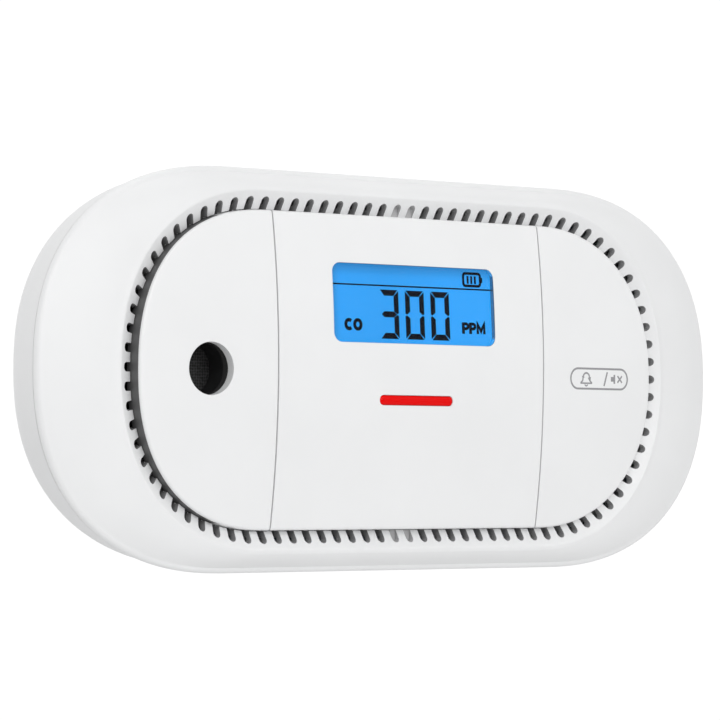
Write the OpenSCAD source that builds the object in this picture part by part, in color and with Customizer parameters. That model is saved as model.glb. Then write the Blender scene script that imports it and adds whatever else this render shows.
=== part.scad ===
// Battery carbon monoxide alarm for a wall.
// The case hooks onto a wall bracket. Its front carries three panels: the sounder
// panel on the left, the display panel in the middle and the test button on the right.
// A ring of slots round the panels lets air in to the gas sensor.
//
// Every module is drawn face up: X runs right, Y runs up the face and Z is the
// distance from the wall. upright() then stands it up, so that in the finished
// model the wall is the plane Y = 0, the front looks along -Y and +Z is up.

/* [Case] */
// Overall width of the case
case_w = 160.4; // [156:0.2:164]
// Overall height of the case
case_h = 73.5; // [72:0.5:76]
// Distance from the wall to the front of the middle panel
case_d = 25.5; // [25.5:0.1:27]
// Thickness of the rear housing's wall
case_wall = 1.8; // [1.6:0.1:2]
// Length of the curved stretch at each end of the case
case_end = 41.5; // [38:0.5:42]
// Squareness of the case's ends, where 2 is an ellipse
case_power = 2.32; // [2.1:0.02:2.5]

/* [Front panels] */
// Width of the three panels together
panels_w = 122.6; // [122:0.2:123]
// Height of the panels
panels_h = 58; // [57.6:0.2:58.4]
// Squareness of the panels' ends, where 2 is an ellipse
panels_power = 2.25; // [2.1:0.05:2.4]
// Radius of the panels' face from top to bottom
crown_r = 187; // [170:1:220]
// Radius of the panels' face from end to end
bow_r = 837; // [700:1:1000]
// Thickness of a panel
panel_wall = 1.8; // [1.6:0.1:2]
// Distance of each seam between two panels from the middle
seam_x = 31.9; // [31.5:0.1:32.5]
// Gap between two panels, and between the panels and the case
panel_gap = 0.3; // [0.25:0.05:0.4]

/* [Air slots] */
// Number of slots round the panels
slot_count = 94; // [90:4:98]
// Width of a slot
slot_w = 1.65; // [1.2:0.05:1.7]
// Distance from the panels' edge to the outer ends of the slots
slot_reach = 2.45; // [2.2:0.05:2.6]

/* [Display] */
// Width of the display window
window_w = 38.8; // [37:0.1:39]
// Height of the display window
window_h = 14.6; // [14:0.1:15]
// Height of the window's middle above the middle of the face
window_y = 12.7; // [12:0.1:13]
// Corner radius of the window
window_r = 1.8; // [1:0.1:2]

/* [Light bar] */
// Width of the light bar
bar_w = 17.6; // [16:0.1:18]
// Height of the light bar
bar_h = 1.9; // [1.8:0.1:2.4]
// Height of the light bar's middle, which is below the middle of the face
bar_y = -5.1; // [-5.4:0.1:-5]

/* [Sounder] */
// Radius of the outlet in the sounder panel
outlet_r = 4.75; // [4.5:0.05:5]
// Distance of the outlet from the middle of the face
outlet_x = 46.4; // [46:0.1:47]
// Radius of the sounder's chamber
chamber_r = 15.5; // [14.5:0.1:15.5]

/* [Test button] */
// Travel of the test button and of the switch under it
press = 0.5; // [0.3:0.05:0.5]
// Distance of the switch from the middle of the face
switch_x = 44; // [42:0.5:46]
// Height of the switch above the middle of the face
switch_y = 8; // [6:0.5:9]

/* [Battery] */
// Radius of the battery
battery_r = 8.5; // [8.3:0.1:8.5]
// Length of the battery with its terminal
battery_l = 34.5; // [34:0.1:34.5]

/* [Wall bracket] */
// Width of the bracket
bracket_w = 110; // [106:1:114]
// Height of the bracket
bracket_h = 50; // [48:1:52]
// Thickness of the bracket
bracket_t = 2.2; // [2:0.1:2.4]
// Distance between the two wall screws
screw_pitch = 60; // [56:1:64]
// Radius of a wall screw's slot
screw_hole_r = 2.1; // [2:0.05:2.3]
// Length of a wall screw's slot from end to end
screw_slot_l = 8; // [7:0.5:9]
// Upward travel that frees the case from the bracket's hooks
unhook = 8; // [7:0.5:8]

/* [Hidden] */
$fn = 64;

// Distances from the wall.
back_z = 3;                       // back of the rear housing
floor_z = back_z + case_wall;     // inside of its back
seam_z = case_d - 7.5;            // joint between the rear housing and the front shell
flange_rear_z = seam_z - 0.2;     // rear of the flange under the panels
flange_z = seam_z + 1.2;          // front of that flange
valley_z = seam_z + 2.5;          // foot of the slotted slope
ridge_z = seam_z + 4.5;           // top of the ring round the panels
board_z = seam_z - 2.1;           // rear of the circuit board
board_t = 1.6;
board_front_z = board_z + board_t;
fit = 0.05;                       // small gap between pieces that sit together

// Outlines of the case. Each is [half length, half height, end length, squareness].
outer = [case_w / 2, case_h / 2, case_end, case_power];
panels = [panels_w / 2, panels_h / 2, panels_h / 2 - 0.4, panels_power];
recess = grown(panels, panel_gap);
ridge = grown(panels, 3.4);
flange = grown(panels, -4);
end_steps = 20;                   // points on a quarter of an outline

function grown(curve, d) = [curve[0] + d, curve[1] + d, curve[2] + d, curve[3]];
function between(a, b, f) = a + (b - a) * f;

// Right end of an outline, from its lowest to its highest point.
function right_end(curve, steps) = [for (i = [-steps:steps])
  let (t = 90 * i / steps)
  [curve[0] - curve[2] + curve[2] * pow(cos(t), 2 / curve[3]),
   curve[1] * sign(t) * pow(abs(sin(t)), 2 / curve[3])]];

// Whole outline: straight along the top and bottom, with a curved end each side.
function outline(curve) = concat(right_end(curve, end_steps), -1 * right_end(curve, end_steps));
function ring(curve, z) = [for (p = outline(curve)) [p.x, p.y, z]];

// Triangles that join ring i to ring i + 1 of a loft, wrapping at the last ring.
function skin(n, i, rings) = [for (j = [0:n - 1], half = [0, 1])
  let (a = i * n, b = ((i + 1) % rings) * n, k = (j + 1) % n)
  half == 0 ? [a + j, b + j, b + k] : [a + j, b + k, a + k]];

function joined(lists) = [for (list = lists, item = list) item];

// A hollow ring whose cross-section is the closed list of rings.
module ring_loft(rings) {
  n = len(rings[0]);
  faces = joined([for (i = [0:len(rings) - 1]) skin(n, i, len(rings))]);
  polyhedron(points = joined(rings), faces = faces, convexity = 10);
}

// A solid whose first ring is its underside and whose last ring is its top.
module solid_loft(rings) {
  n = len(rings[0]);
  last = len(rings) - 1;
  sides = joined([for (i = [0:last - 1]) skin(n, i, len(rings))]);
  caps = [[for (j = [0:n - 1]) j], [for (j = [n - 1:-1:0]) last * n + j]];
  polyhedron(points = joined(rings), faces = concat(sides, caps), convexity = 10);
}

module upright() {
  rotate([90, 0, 0]) children();
}

// Extrudes a flat shape from distance z0 to distance z1 from the wall.
module slab(z0, z1) {
  translate([0, 0, z0]) linear_extrude(z1 - z0) children();
}

module rod(r, z0, z1) {
  translate([0, 0, z0]) cylinder(r = r, h = z1 - z0);
}

module block(x0, x1, y0, y1, z0, z1) {
  translate([x0, y0, z0]) cube([x1 - x0, y1 - y0, z1 - z0]);
}

module rounded_square(w, h, r) {
  square([w - 2 * r, h], center = true);
  square([w, h - 2 * r], center = true);
  for (x = [-1, 1], y = [-1, 1]) {
    translate([x * (w / 2 - r), y * (h / 2 - r)]) circle(r);
  }
}

dome_angle = 24;                  // stretch of the bow that is made

// The panels' domed face, as a solid that ends depth behind the face.
module dome(depth) {
  translate([0, 0, case_d - bow_r])
    rotate([90, 0, 0])
      rotate([0, 0, 90 - dome_angle / 2])
        rotate_extrude(angle = dome_angle, $fn = 720)
          translate([bow_r - crown_r, 0])
            circle(crown_r - depth, $fn = 240);
}

// ---------- Case ----------

shell_wall = 1.7;
corner = 1;                       // inset of the case's rounded front corner
bevel_foot_z = seam_z + 1.4;
bevel_steps = 6;
bevel_crown = 0.35;

// The bevel between the ridge and the case's corner, slightly domed.
function bevel_ring(f) = ring(between(grown(outer, -corner), grown(ridge, 0.9), f),
  between(bevel_foot_z, ridge_z - 0.15, f) + bevel_crown * sin(180 * f));

shell_front = concat(
  [ring(outer, seam_z), ring(outer, seam_z + 0.35), ring(grown(outer, -0.15), seam_z + 0.85),
   ring(grown(outer, -0.5), seam_z + 1.2)],
  [for (i = [0:bevel_steps]) bevel_ring(i / bevel_steps)],
  [ring(grown(ridge, 0.35), ridge_z), ring(grown(ridge, 0.1), ridge_z),
   ring(grown(ridge, -0.1), ridge_z - 0.08), ring(recess, valley_z), ring(recess, flange_z),
   ring(flange, flange_z)]);
lip = grown(panels, 1.3);         // outside of the lip that the flange hangs from
shell_inside = [ring(flange, flange_rear_z), ring(lip, flange_rear_z),
  ring(lip, valley_z - 0.8), ring(ridge, ridge_z - shell_wall),
  ring(grown(outer, -2.4), seam_z + 0.15), ring(grown(outer, -1.9), seam_z)];

case_screw_x = 67;
case_screw_y = 8.5;
case_boss_r = 2.8;
case_boss_z = 9;
case_screw_r = 1.3;
screw_head_r = 2.7;
screw_seat_z = back_z + 3.2;      // face that a case screw's head bears on
screw_play = 0.1;

module at_case_screws() {
  for (x = [-1, 1], y = [-1, 1]) {
    translate([x * case_screw_x, y * case_screw_y, 0]) children();
  }
}

// A quarter of the slots' base line, from the top of the face to its right end, and the
// distances along it where its x or y can be looked up.
slot_lead = 1.4;                  // from the base line to the slots' tips
slot_foot = 1.8;                  // from the base line to their inner ends
slot_base = grown(panels, slot_reach - slot_lead);
base_steps = 60;
base_end = right_end(slot_base, base_steps);
base_points = concat([[0, slot_base[1]]], [for (i = [2 * base_steps:-1:base_steps]) base_end[i]]);
function walked(points, i) = i == 0 ? 0 : walked(points, i - 1) + norm(points[i] - points[i - 1]);
base_last = len(base_points) - 1;
base_lengths = [for (i = [0:base_last]) walked(base_points, i)];
base_x = [for (i = [0:base_last]) [base_lengths[i], base_points[i].x]];
base_y = [for (i = [0:base_last]) [base_lengths[i], base_points[i].y]];
slot_pitch = base_lengths[base_last] / (slot_count / 4);
function on_base(s) = [lookup(s, base_x), lookup(s, base_y)];

// One slot: it starts inside the panels' recess and ends in a half circle.
module slot_cut(s, z0) {
  ahead = on_base(min(s + slot_w / 2, base_lengths[base_last]));
  behind = on_base(s - slot_w / 2);
  along = (ahead - behind) / norm(ahead - behind);
  out = [-along.y, along.x];
  foot = on_base(s) - slot_foot * out;
  tip = on_base(s) + (slot_lead - slot_w / 2) * out;
  hull() {
    translate([foot.x, foot.y, z0]) cylinder(d = slot_w, h = ridge_z - z0 + 1, $fn = 10);
    translate([tip.x, tip.y, z0]) cylinder(d = slot_w, h = ridge_z - z0 + 1, $fn = 10);
  }
}

blind_z = valley_z - 0.15;        // floor of the blind slots

// A quarter of the ring of slots. The first one is blind: a rib passes behind it.
module quarter_slots() {
  for (i = [0:floor(slot_count / 4)]) {
    slot_cut((i + 0.5) * slot_pitch, i == 0 ? blind_z : flange_rear_z - 1);
  }
}

module front_shell() {
  color("white") upright() difference() {
    union() {
      ring_loft(concat(shell_front, shell_inside));
      at_case_screws() rod(case_boss_r, case_boss_z, ridge_z - 2, $fn = 24);
      for (y = [0, 1]) {
        mirror([0, y, 0]) block(-slot_pitch, slot_pitch, recess[1] + 0.5, lip[1] + 1.5,
          flange_z - 0.2, blind_z);
      }
    }
    at_case_screws() rod(case_screw_r + screw_play, case_boss_z - 1, seam_z, $fn = 24);
    for (x = [0, 1], y = [0, 1]) {
      mirror([x, 0, 0]) mirror([0, y, 0]) quarter_slots();
    }
  }
}

// The rear housing's side leans in to side_z and then rounds off to its back.
side_z = seam_z - 5;
side_r = 9.6;
side_lean = 1;                    // inset of the side at side_z
chamfer = 0.45;
function side_ring(r, inset, t) = ring(grown(outer, -inset - r * (1 - cos(t))),
  side_z - r * sin(t));
housing_outside = concat([ring(grown(outer, -side_lean - side_r), back_z)],
  [for (t = [75:-15:0]) side_ring(side_r, side_lean, t)],
  [ring(grown(outer, -0.1), seam_z - 0.4), ring(grown(outer, -chamfer), seam_z - fit)]);
housing_inside = concat([ring(grown(outer, -side_lean - side_r - 0.6), floor_z)],
  [for (t = [60:-15:0]) side_ring(side_r - case_wall, side_lean + case_wall, t)],
  [ring(grown(outer, -case_wall - 0.1), seam_z + 1)]);

hook_x = 40;
hook_y = 14;
hook_neck = [3, 3];
hook_head = [7.4, 4];
hook_head_t = 1.4;
hook_play = 0.3;

// The battery lies across the case below the circuit board, behind a door. The door's
// hinge is far enough above its wide part for that part to swing clear of the back.
battery_y = -17.2;
battery_z = floor_z + 0.3 + battery_r;
door_w = 41;
door_low = -25.8;
door_top = -8.4;
door_t = 1.5;
hinge_y = door_top + 3;
hinge_z = 4.4;
hinge_r = 1.3;
hinge_l = 30;
pin_r = 0.8;
pin_l = 2.4;
pin_play = 0.05;
lug_t = 3.2;
door_play = 0.25;
bay_wall = 1.2;
bay_x = battery_l / 2 + 3.2;      // inside of the bay's end walls
bay_z = 12;

module at_hooks() {
  for (x = [-1, 1], y = [-1, 1]) translate([x * hook_x, y * hook_y, 0]) children();
}

// Keyhole that lets a hook's head in at the bottom and holds its neck at the top.
module keyhole() {
  half_w = hook_neck.x / 2 + hook_play;
  wide = [hook_head.x / 2 + 0.5, hook_head.y / 2 + 0.6];
  block(-half_w, half_w, -unhook, hook_neck.y / 2 + fit, back_z - 1, floor_z + 1);
  block(-wide.x, wide.x, -unhook - wide.y, -unhook + wide.y, back_z - 1, floor_z + 1);
}

module door_opening() {
  swing_play = 0.45;
  block(-door_w / 2 - door_play, door_w / 2 + door_play, door_low - door_play,
    door_top + swing_play, back_z - 1, floor_z + 1);
  block(-hinge_l / 2 - door_play, hinge_l / 2 + door_play, door_low, hinge_y + hinge_r + swing_play,
    back_z - 1, floor_z + 1);
}

module hinge_lugs() {
  for (x = [-1, 1]) {
    translate([x * (hinge_l / 2 + door_play + lug_t / 2), hinge_y, 0])
      block(-lug_t / 2, lug_t / 2, -1.9, 1.9, back_z + 0.4, hinge_z + 2);
  }
}

module battery_bay() {
  for (x = [-1, 1]) {
    translate([x * (bay_x + bay_wall / 2), battery_y, 0])
      block(-bay_wall / 2, bay_wall / 2, -battery_r, battery_r, floor_z - 0.3, bay_z);
  }
}

module rear_housing() {
  color("gainsboro") upright() difference() {
    union() {
      difference() {
        solid_loft(housing_outside);
        solid_loft(housing_inside);
      }
      at_case_screws() rod(case_boss_r, floor_z, case_boss_z - fit);
      at_case_screws() rod(screw_head_r + 1.6, floor_z - 0.3, screw_seat_z + 1.2);
      battery_bay();
      hinge_lugs();
    }
    at_case_screws() rod(screw_head_r + 0.4, back_z - 1, screw_seat_z);
    at_case_screws() rod(case_screw_r + 0.3, back_z, case_boss_z + 1);
    at_hooks() keyhole();
    door_opening();
    translate([-hinge_l / 2 - lug_t - 1, hinge_y, hinge_z]) rotate([0, 90, 0])
      cylinder(r = pin_r + pin_play, h = hinge_l + 2 * lug_t + 2);
  }
}

module battery_door() {
  color("whitesmoke") upright() difference() {
    union() {
      block(-door_w / 2, door_w / 2, door_low, door_top, back_z, back_z + door_t);
      block(-hinge_l / 2, hinge_l / 2, door_top - 1, hinge_y, back_z + 0.1, back_z + door_t);
      translate([-hinge_l / 2, hinge_y, hinge_z]) rotate([0, 90, 0])
        cylinder(r = hinge_r, h = hinge_l);
      translate([-hinge_l / 2 - pin_l, hinge_y, hinge_z]) rotate([0, 90, 0])
        cylinder(r = pin_r, h = hinge_l + 2 * pin_l);
    }
    // A notch for a fingertip, and grip lines above it.
    translate([0, door_low - 2.5, 0]) rod(5, back_z - 1, back_z + door_t + 1);
    for (i = [0:2]) {
      translate([0, door_low + 4.4 + i * 1.6, 0])
        block(-6, 6, -0.4, 0.4, back_z - 1, back_z + 0.4);
    }
  }
}

module case_screws() {
  color("silver") upright() at_case_screws() difference() {
    union() {
      rod(screw_head_r, screw_seat_z - 2, screw_seat_z);
      rod(case_screw_r, screw_seat_z - 0.1, seam_z - 0.5);
    }
    block(-1.7, 1.7, -0.35, 0.35, back_z, screw_seat_z - 1);
    block(-0.35, 0.35, -1.7, 1.7, back_z, screw_seat_z - 1);
  }
}

module rating_label() {
  color("white") upright() translate([0, 9, 0])
    slab(back_z - 0.15, back_z) rounded_square(54, 16, 1.5);
}

// ---------- Wall bracket ----------

// The notch lets the battery door swing, even when the case is lifted.
notch_w = 48;
notch_y = 4.4;

module screw_slot() {
  reach = screw_slot_l / 2 - screw_hole_r;
  for (x = [-1, 1]) translate([x * reach, 0, 0]) rod(screw_hole_r, -1, bracket_t + 1);
  block(-reach, reach, -screw_hole_r, screw_hole_r, -1, bracket_t + 1);
}

module hook() {
  neck = hook_neck / 2;
  head = hook_head / 2;
  block(-neck.x, neck.x, -neck.y, neck.y, bracket_t - 0.5, floor_z + 0.4);
  block(-head.x, head.x, -neck.y, hook_head.y - neck.y, floor_z + 0.3,
    floor_z + 0.3 + hook_head_t);
}

module wall_bracket() {
  screw_y = 12;
  color("lightgray") upright() {
    difference() {
      slab(0, bracket_t) rounded_square(bracket_w, bracket_h, 7);
      block(-notch_w / 2, notch_w / 2, -bracket_h, notch_y, -1, bracket_t + 1);
      for (x = [-1, 1]) translate([x * screw_pitch / 2, screw_y, 0]) screw_slot();
      slab(bracket_t - 0.6, bracket_t + 1) translate([0, screw_y]) rounded_square(38, 12, 3);
    }
    at_hooks() hook();
  }
}

// ---------- Front panels ----------

// The stretch of the panels between x0 and x1, hollowed from behind.
module panel_part(x0, x1, skirt_z) {
  inside_x0 = x0 + (x0 < -seam_x - 1 ? 0 : panel_wall / 2);
  inside_x1 = x1 - (x1 > seam_x + 1 ? 0 : panel_wall / 2);
  difference() {
    intersection() {
      dome(0);
      slab(skirt_z, case_d + 1) polygon(outline(panels));
      block(x0, x1, -panels_h, panels_h, skirt_z - 1, case_d + 2);
    }
    intersection() {
      dome(panel_wall);
      slab(skirt_z - 1, case_d) polygon(outline(grown(panels, -panel_wall)));
      block(inside_x0, inside_x1, -panels_h, panels_h, skirt_z - 2, case_d + 2);
    }
  }
}

board_screw_x = 28.2;
board_screw_y = [-5.5, 21.5];
board_screw_r = 1;

module at_board_screws() {
  for (x = [-1, 1], y = board_screw_y) translate([x * board_screw_x, y, 0]) children();
}

module window_shape(margin) {
  translate([0, window_y]) rounded_square(window_w + 2 * margin, window_h + 2 * margin,
    window_r + margin);
}

module bar_shape(margin) {
  translate([0, bar_y]) rounded_square(bar_w + 2 * margin, bar_h + 2 * margin,
    bar_h / 2 + margin - 0.05);
}

module display_panel() {
  half = seam_x - panel_gap / 2;
  color("white") upright() difference() {
    union() {
      panel_part(-half, half, flange_z + fit);
      intersection() {
        at_board_screws() rod(2.5, board_front_z, case_d);
        dome(panel_wall / 2);
      }
    }
    slab(flange_z, case_d + 1) window_shape(0);
    slab(flange_z, case_d + 1) bar_shape(0);
    at_board_screws() rod(board_screw_r + screw_play, board_front_z - 1, case_d - 4);
  }
}

module sounder_panel() {
  color("white") upright() difference() {
    panel_part(-panels_w, -seam_x - panel_gap / 2, flange_z + fit);
    translate([-outlet_x, 0, 0]) rod(outlet_r, flange_z, case_d + 1);
  }
}

// Distance from the wall to the front of the switch's plunger, where the button bears.
plunger_top_z = board_front_z + 4.6;

// One of the two arms that hook behind the flange and keep the button in the case.
module button_arm() {
  arm_x = 42;
  arm_y = 21;
  arm_w = 5;
  hook_z = flange_rear_z - 1.4;
  translate([arm_x - arm_w / 2, arm_y, hook_z]) {
    cube([arm_w, 1.2, case_d - hook_z]);
    cube([arm_w, 4.4, 1]);
  }
}

module test_button() {
  color("white") upright() {
    panel_part(seam_x + panel_gap / 2, panels_w, flange_z + press + 0.4);
    intersection() {
      union() {
        translate([switch_x, switch_y, 0]) rod(2.6, plunger_top_z + 0.02, case_d);
        for (y = [0, 1]) mirror([0, y, 0]) button_arm();
      }
      dome(panel_wall / 2);
    }
  }
}

// ---------- Display and light bar ----------

window_tilt = asin(window_y / crown_r);
window_z = case_d - crown_r * (1 - cos(window_tilt));   // the face at the window's middle
lens_depth = 0.35;                // depth of the flat window below the domed face
lens_t = 1;
glass_depth = lens_depth + lens_t + fit;
glass_t = 2.8;
glass_half_w = window_w / 2 - fit;
backlight_h = 11.5;
strip_h = 2;
frame_top_z = case_d - 3.9;
frame_wall = 1.3;
bar_flange = 1;
bar_proud = 0.1;
shroud_top_z = case_d - 4;

// What lies within t behind a given depth, leaning back as the face does at the window.
module leaning_slab(depth, t) {
  translate([0, window_y, window_z]) rotate([-window_tilt, 0, 0])
    block(-window_w, window_w, -window_w, window_w, -depth - t, -depth);
}

module window_piece(depth, t) {
  intersection() {
    slab(board_front_z, case_d + 1) window_shape(-fit);
    leaning_slab(depth, t);
  }
}

module lcd_lens() {
  color("lightcyan", 0.4) upright() window_piece(lens_depth, lens_t);
}

module lcd_frame() {
  color("white") upright() difference() {
    slab(board_front_z + fit, frame_top_z) translate([0, window_y])
      square([window_w + 2 * frame_wall, window_h + 2 * frame_wall], center = true);
    slab(board_front_z, case_d) translate([0, window_y])
      square([window_w + 0.1, window_h + 0.1], center = true);
  }
}

module lcd_glass() {
  color("cornflowerblue") upright() window_piece(glass_depth, glass_t);
}

// A bar between the board and the glass, with its top against the leaning glass.
module under_glass(half_w, low_y, high_y, z) {
  intersection() {
    block(-half_w, half_w, low_y, high_y, z, case_d);
    leaning_slab(glass_depth + glass_t + fit, case_d);
  }
}

module lcd_backlight() {
  top_y = window_y + window_h / 2 - 0.4;
  color("deepskyblue") upright()
    under_glass(glass_half_w - 1, top_y - backlight_h, top_y, board_front_z + 0.2);
}

module lcd_connector() {
  low_y = window_y - window_h / 2 + 0.3;
  color("dimgray") upright()
    under_glass(glass_half_w - 0.5, low_y, low_y + strip_h, board_front_z + fit);
}

module light_bar() {
  flange_top_z = case_d - panel_wall - 0.3;
  color("red") upright() {
    slab(flange_top_z - 0.1, case_d + bar_proud) bar_shape(-fit);
    slab(shroud_top_z + fit, flange_top_z) bar_shape(bar_flange);
  }
}

module light_shroud() {
  color("white") upright() difference() {
    slab(board_front_z + fit, shroud_top_z) bar_shape(1.7);
    slab(board_front_z, case_d) bar_shape(0.4);
  }
}

module led(x) {
  upright() translate([x, bar_y, 0]) block(-1.5, 1.5, -1, 1, board_front_z, board_front_z + 1);
}

module red_led() {
  color("red") led(0);
}

module green_led() {
  color("limegreen") led(-6);
}

module amber_led() {
  color("orange") led(6);
}

// ---------- Circuit board ----------

board_left = -30.5;
board_mid = 33;
board_right = 56;
board_low = -8.3;
board_high = 28;
board_shoulder = 17;
sensor_x = 40;
sensor_y = 5;
sensor_r = 7.8;
sensor_pin_r = 0.4;

module at_sensor_pins() {
  for (a = [90, 210, 330]) translate([sensor_x + 4.5 * cos(a), sensor_y + 4.5 * sin(a), 0])
    children();
}

module main_board() {
  color("seagreen") upright() difference() {
    slab(board_z, board_front_z) polygon([[board_left, board_low], [board_right, board_low],
      [board_right, board_shoulder], [board_mid, board_shoulder], [board_mid, board_high],
      [board_left, board_high]]);
    at_board_screws() rod(board_screw_r + 0.15, board_z - 1, board_front_z + 1);
    at_sensor_pins() rod(sensor_pin_r + 0.1, board_z - 1, board_front_z + 1);
  }
}

module board_screws() {
  color("silver") upright() at_board_screws() difference() {
    union() {
      rod(2, board_z - 1.4, board_z - 0.01);
      rod(board_screw_r, board_z - 0.1, board_front_z + 3.4);
    }
    block(-1.3, 1.3, -0.25, 0.25, board_z - 2, board_z - 0.8);
    block(-0.25, 0.25, -1.3, 1.3, board_z - 2, board_z - 0.8);
  }
}

// A chip on the rear of the board, with legs along two sides.
module chip(x, y, w, h, t, legs) {
  translate([x, y, 0]) {
    block(-w / 2, w / 2, -h / 2, h / 2, board_z - t, board_z - 0.15);
    for (i = [0:legs - 1], side = [-1, 1]) {
      translate([-w / 2 + (i + 0.5) * w / legs, side * (h / 2 + 0.5), 0])
        block(-0.15, 0.15, -0.6, 0.6, board_z - t / 2, board_z);
    }
  }
}

module microcontroller() {
  color("black") upright() chip(2, 11, 10, 8, 1.5, 12);
}

module amplifier_chip() {
  color("black") upright() chip(14, 2, 5, 4, 1.4, 4);
}

module driver_chip() {
  color("black") upright() chip(-18, 14, 5, 4, 1.4, 4);
}

module capacitors() {
  color("midnightblue") upright() for (x = [-14, -6]) {
    translate([x, 23.5, 0]) rod(3.1, board_z - 7, board_z);
  }
}

module boost_coil() {
  color("darkslategray") upright() translate([-20.5, 2, 0]) {
    rod(3.6, board_z - 1, board_z);
    rod(2.9, board_z - 3.6, board_z - 0.5);
    rod(3.6, board_z - 4.4, board_z - 3.4);
  }
}

module small_components() {
  color("tan") upright() for (i = [0:8]) {
    translate([-10 + 4 * i, -4, 0]) block(-1, 1, -0.6, 0.6, board_z - 0.7, board_z);
  }
}

// ---------- Switch under the test button ----------

switch_w = 6;
switch_h = 3.5;
plunger_r = 1.7;
plunger_l = 2;

module switch_body() {
  color("dimgray") upright() translate([switch_x, switch_y, 0]) difference() {
    block(-switch_w / 2, switch_w / 2, -switch_w / 2, switch_w / 2, board_front_z,
      board_front_z + switch_h);
    rod(plunger_r + 0.1, plunger_top_z - plunger_l - press - 0.1, case_d);
  }
}

module switch_plunger() {
  color("ivory") upright() translate([switch_x, switch_y, 0])
    rod(plunger_r, plunger_top_z - plunger_l, plunger_top_z);
}

// ---------- Sounder ----------

chamber_rear_z = 8;
chamber_front_z = flange_rear_z - 0.5;
neck_r = 6.6;
neck_z = seam_z + 3;
screen_z = flange_rear_z - 1.2;
plate_z = 12.4;
plate_t = 0.3;
lead_y = [3, -0.6];               // heights of the sounder's two leads

module at_sounder() {
  upright() translate([-outlet_x, 0, 0]) children();
}

module sounder_housing() {
  inner_r = chamber_r - 1.3;
  ledge_r = inner_r - 2;
  color("#202020") at_sounder() difference() {
    union() {
      rod(chamber_r, chamber_rear_z, chamber_front_z);
      rod(neck_r, chamber_front_z - 0.5, neck_z);
    }
    rod(inner_r, chamber_rear_z - 1, plate_z + plate_t);
    rod(ledge_r, chamber_rear_z, chamber_front_z - 1.3);
    rod(outlet_r + 0.15, chamber_rear_z, neck_z + 1);
  }
}

module sounder_screen() {
  color("#101010") at_sounder() rod(outlet_r + 0.1, screen_z, screen_z + 0.3);
}

module sounder_cover() {
  color("#202020") at_sounder() difference() {
    rod(chamber_r - 1.4, chamber_rear_z, chamber_rear_z + 1.2);
    for (y = lead_y) translate([8, y, 0]) rod(0.9, 0, chamber_front_z);
  }
}

module piezo_plate() {
  color("goldenrod") at_sounder() rod(chamber_r - 1.6, plate_z, plate_z + plate_t);
}

module piezo_ceramic() {
  color("lightgray") at_sounder() rod(10, plate_z - 0.2, plate_z);
}

module sounder_gasket() {
  color("#303030") intersection() {
    at_sounder() difference() {
      rod(neck_r, neck_z + 0.01, case_d);
      rod(outlet_r + 0.15, neck_z - 1, case_d + 1);
    }
    upright() dome(panel_wall + fit);
  }
}

// Directions across a path at its point i, for a tube's ring there.
function unit(v) = v / norm(v);
function heading(path, i) = unit(path[min(i + 1, len(path) - 1)] - path[max(i - 1, 0)]);
function tube_ring(path, i, r, sides, up) =
  let (ahead = heading(path, i), across = unit(cross(ahead, up)), over = cross(across, ahead))
  [for (k = [0:sides - 1]) path[i] + r * (cos(360 * k / sides) * over + sin(360 * k / sides) * across)];

module tube(path, r, up) {
  solid_loft([for (i = [0:len(path) - 1]) tube_ring(path, i, r, 8, up)]);
}

// A lead from the sounder's rear, round the board's edge, to the board.
lead_route = [[-38.4, 8.05], [-38.2, 7.2], [-37.2, 6.5], [-35.4, 6.3], [-33, 6.4], [-31, 6.9],
  [-29.4, 8], [-28.2, 9.8], [-27.6, 12], [-27.5, 15.85]];

module sounder_lead(y) {
  upright() tube([for (p = lead_route) [p.x, y, p.y]], 0.6, [0, 1, 0]);
}

module sounder_wire_red() {
  color("red") sounder_lead(lead_y[0]);
}

module sounder_wire_black() {
  color("#202020") sounder_lead(lead_y[1]);
}

// ---------- Gas sensor ----------

sensor_front_z = board_z - 0.5;
sensor_rear_z = 9;

module sensor_can() {
  color("silver") upright() translate([sensor_x, sensor_y, 0]) {
    rod(sensor_r, sensor_rear_z, sensor_front_z - 0.8);
    rod(sensor_r + 0.5, sensor_front_z - 0.8, sensor_front_z);
  }
}

module sensor_cap() {
  color("whitesmoke") upright() translate([sensor_x, sensor_y, 0]) difference() {
    rod(6.2, sensor_rear_z - 1.2, sensor_rear_z);
    rod(1, 0, sensor_rear_z - 0.3);
    for (a = [0:60:300]) rotate(a) translate([3.5, 0, 0]) rod(0.7, 0, sensor_rear_z - 0.3);
  }
}

module sensor_pins() {
  color("gold") upright() at_sensor_pins() rod(sensor_pin_r, sensor_front_z, board_front_z + 0.6);
}

// ---------- Battery ----------

contact_t = 0.4;
leaf_x = battery_l / 2 + fit;
terminal_l = 1;

module battery() {
  color("steelblue") upright() translate([0, battery_y, battery_z]) rotate([0, 90, 0]) {
    translate([0, 0, -battery_l / 2]) cylinder(r = battery_r, h = battery_l - terminal_l);
    cylinder(r = 3.2, h = battery_l / 2);
  }
}

// Upright strip against the bay's end wall, with a tail that reaches the board.
module contact_strip() {
  block(bay_x - contact_t, bay_x - 0.02, battery_y - 4.5, battery_y + 4.5, 5.2, board_z - 0.1);
  block(bay_x - contact_t, bay_x - 0.02, battery_y + 4, board_low + 2, board_z - 2.4,
    board_z - 0.02);
}

module positive_contact() {
  color("silver") upright() {
    contact_strip();
    block(leaf_x, leaf_x + contact_t, battery_y - 3.5, battery_y + 3.5, 8.6, board_z - 0.1);
    block(leaf_x, bay_x - 0.1, battery_y - 3.5, battery_y + 3.5, board_z - 0.5, board_z - 0.1);
  }
}

module negative_contact() {
  color("silver") upright() mirror([1, 0, 0]) contact_strip();
}

spring_turns = 3;
spring_steps = 14;                // steps in a turn
spring_r = 0.35;

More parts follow.
